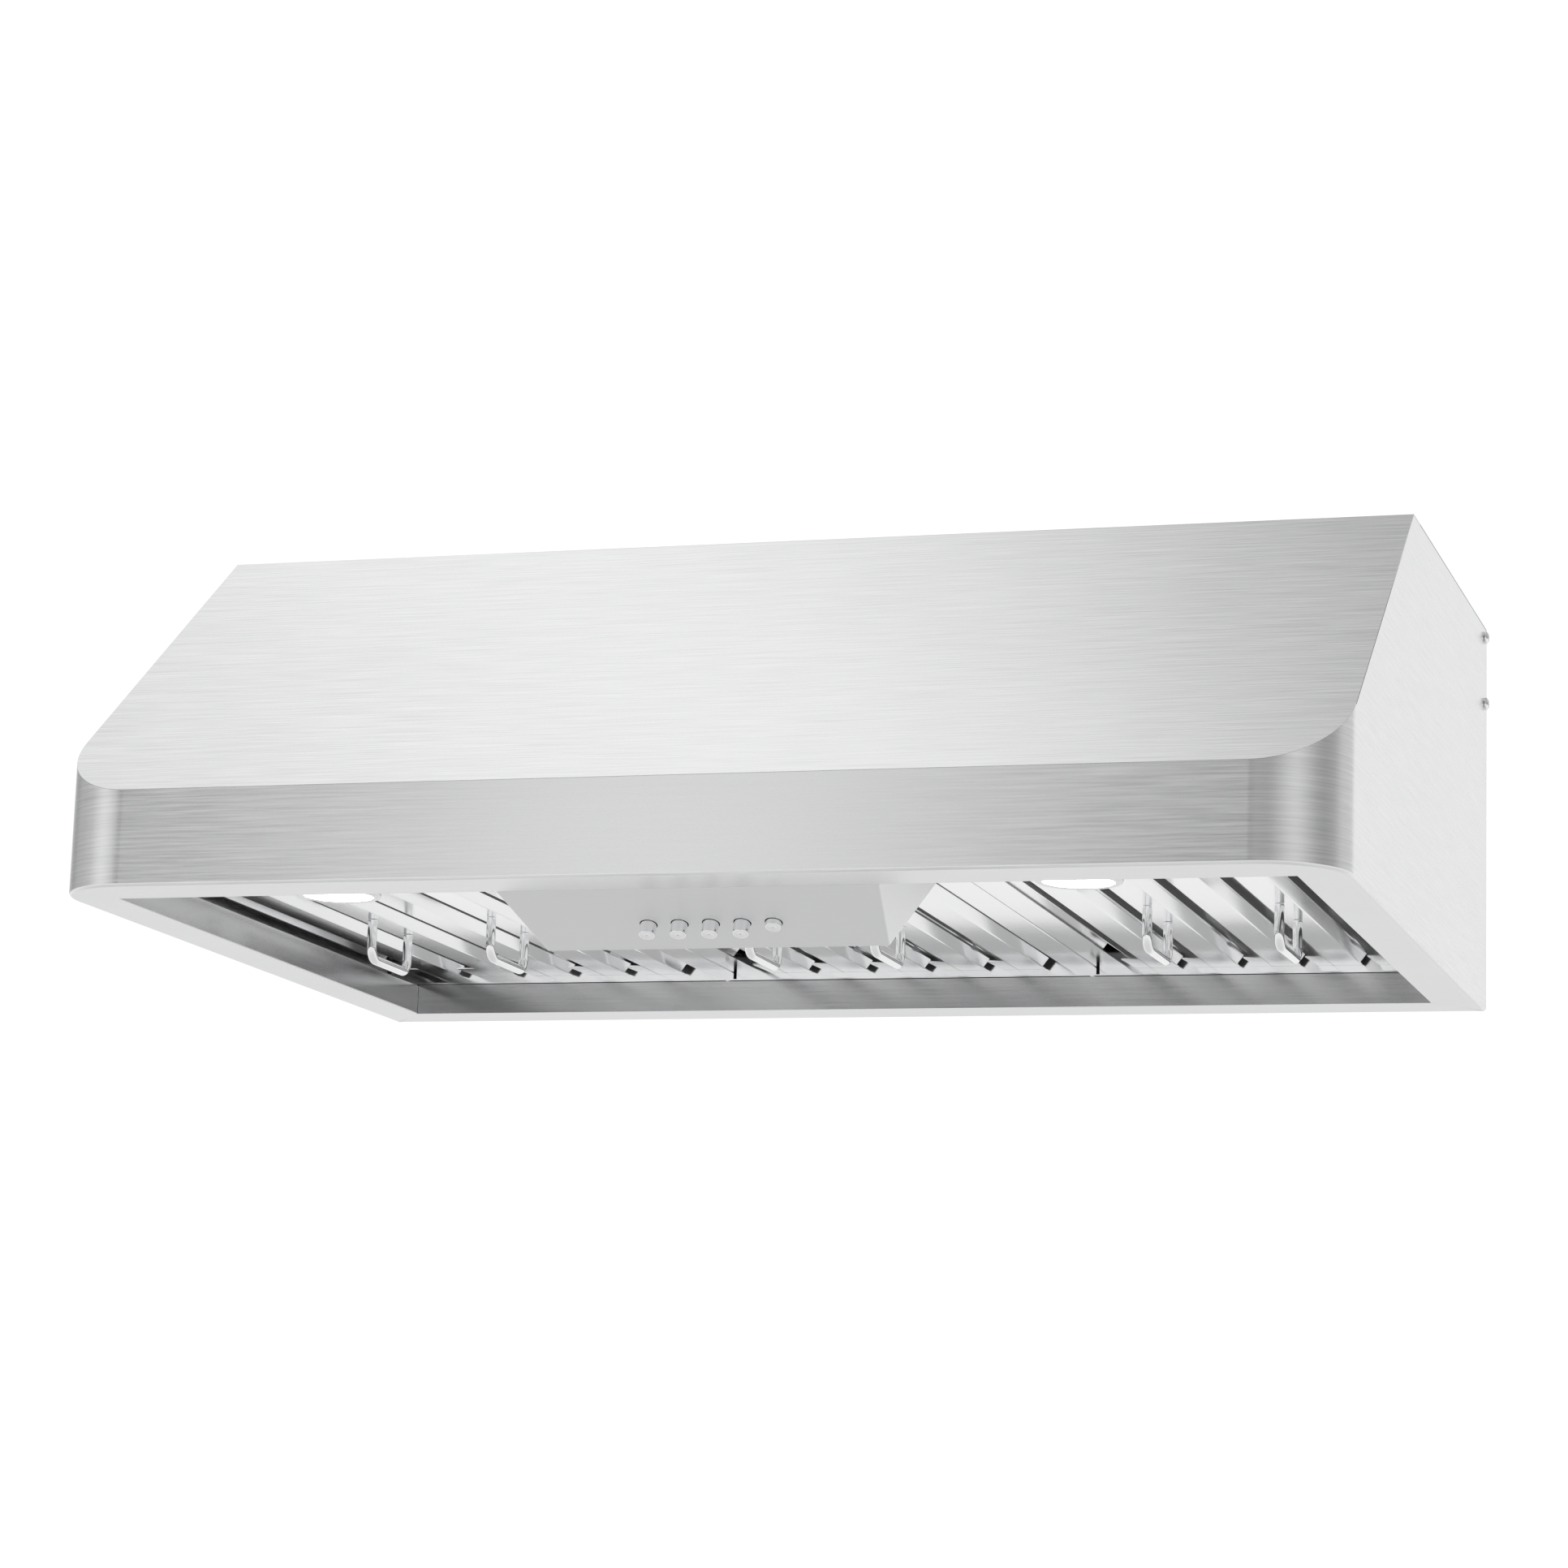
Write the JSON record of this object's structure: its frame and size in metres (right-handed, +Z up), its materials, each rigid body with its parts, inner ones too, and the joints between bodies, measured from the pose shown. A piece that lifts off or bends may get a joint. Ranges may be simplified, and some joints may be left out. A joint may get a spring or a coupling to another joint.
{
  "type": "under cabinet range hood",
  "caption": "Under cabinet range hood: brushed steel canopy with sloped front, lift out baffle filters with rod handles, push buttons, lamps and a ducted blower.",
  "frame": {"origin": "centre of the back panel's outer face, which stands against the wall", "axes": "+X to the hood's right seen from the front, +Y backwards into the wall, +Z up"},
  "size_m": [0.7654, 0.558, 0.3046],
  "materials": {
    "brushed_steel": "horizontal brushed grain",
    "rim_steel": "satin",
    "polished_steel": "polished",
    "control_plate": "fine satin",
    "lamp_lens": "opal, lit",
    "galvanised": "galvanised",
    "motor_enamel": "semi matt enamel",
    "black_plastic": "fine texture",
    "grey_plastic": "fine texture"
  },
  "bodies": {
    "hood": {"body_wrap": "brushed_steel", "sloped_front_panel": "brushed_steel", "back_panel": "rim_steel", "top_panel": "galvanised", "front_shelf": "brushed_steel", "control_box": "control_plate", "switch_block": "black_plastic", "lamp_bezel_left": "rim_steel", "lamp_lens_left": "lamp_lens", "lamp_heat_sink_left": "galvanised", "lamp_bezel_right": "rim_steel", "lamp_lens_right": "lamp_lens", "lamp_heat_sink_right": "galvanised", "duct_collar": "galvanised", "damper_rod": "galvanised", "blower_housing": "galvanised", "inlet_ring_left": "black_plastic", "inlet_ring_right": "black_plastic", "motor": "motor_enamel", "motor_bracket": "galvanised", "junction_box": "galvanised", "junction_cover": "galvanised", "terminal_block": "grey_plastic", "cable_bushing": "black_plastic", "capacitor": "grey_plastic", "led_driver": "grey_plastic", "side_screw_left_1": "polished_steel", "side_screw_left_2": "polished_steel", "side_screw_right_1": "polished_steel", "side_screw_right_2": "polished_steel"},
    "filter_left": {"filter_left_frame": "polished_steel", "filter_left_lower_baffles": "polished_steel", "filter_left_upper_baffles": "polished_steel", "filter_left_handle_left": "polished_steel", "filter_left_handle_right": "polished_steel"},
    "filter_middle": {"filter_middle_frame": "polished_steel", "filter_middle_lower_baffles": "polished_steel", "filter_middle_upper_baffles": "polished_steel", "filter_middle_handle_left": "polished_steel", "filter_middle_handle_right": "polished_steel"},
    "filter_right": {"filter_right_frame": "polished_steel", "filter_right_lower_baffles": "polished_steel", "filter_right_upper_baffles": "polished_steel", "filter_right_handle_left": "polished_steel", "filter_right_handle_right": "polished_steel"},
    "button_1": {"button_1": "polished_steel"},
    "button_2": {"button_2": "polished_steel"},
    "button_3": {"button_3": "polished_steel"},
    "button_4": {"button_4": "polished_steel"},
    "button_5": {"button_5": "polished_steel"},
    "damper_front": {"damper_flap_front": "galvanised"},
    "damper_back": {"damper_flap_back": "galvanised"},
    "blower_rotor": {"blower_wheel": "galvanised", "motor_shaft": "polished_steel"}
  },
  "joints": [
    {"name": "filter_left_lift", "type": "slide", "parent": "hood", "child": "filter_left", "axis": [0, 0, 1], "range_m": [0, 0.018]},
    {"name": "filter_middle_lift", "type": "slide", "parent": "hood", "child": "filter_middle", "axis": [0, 0, 1], "range_m": [0, 0.018]},
    {"name": "filter_right_lift", "type": "slide", "parent": "hood", "child": "filter_right", "axis": [0, 0, 1], "range_m": [0, 0.018]},
    {"name": "button_1_press", "type": "slide", "parent": "hood", "child": "button_1", "axis": [0, 0.3714, 0.9285], "range_m": [0, 0.004], "stiffness_N_per_m": 200, "springref_m": -0.002},
    {"name": "button_2_press", "type": "slide", "parent": "hood", "child": "button_2", "axis": [0, 0.3714, 0.9285], "range_m": [0, 0.004], "stiffness_N_per_m": 200, "springref_m": -0.002},
    {"name": "button_3_press", "type": "slide", "parent": "hood", "child": "button_3", "axis": [0, 0.3714, 0.9285], "range_m": [0, 0.004], "stiffness_N_per_m": 200, "springref_m": -0.002},
    {"name": "button_4_press", "type": "slide", "parent": "hood", "child": "button_4", "axis": [0, 0.3714, 0.9285], "range_m": [0, 0.004], "stiffness_N_per_m": 200, "springref_m": -0.002},
    {"name": "button_5_release", "type": "slide", "parent": "hood", "child": "button_5", "axis": [0, -0.3714, -0.9285], "range_m": [0, 0.004], "stiffness_N_per_m": 200, "springref_m": -0.002},
    {"name": "damper_front_swing", "type": "hinge", "parent": "hood", "child": "damper_front", "pos_m": [0, -0.13201, 0.134], "axis": [-1, 0, 0], "range_deg": [0, 75]},
    {"name": "damper_back_swing", "type": "hinge", "parent": "hood", "child": "damper_back", "pos_m": [0, -0.13201, 0.134], "axis": [1, 0, 0], "range_deg": [0, 75]},
    {"name": "blower_spin", "type": "hinge", "parent": "hood", "child": "blower_rotor", "pos_m": [0, -0.16999, 0.0247], "axis": [1, 0, 0], "continuous": true}
  ]
}
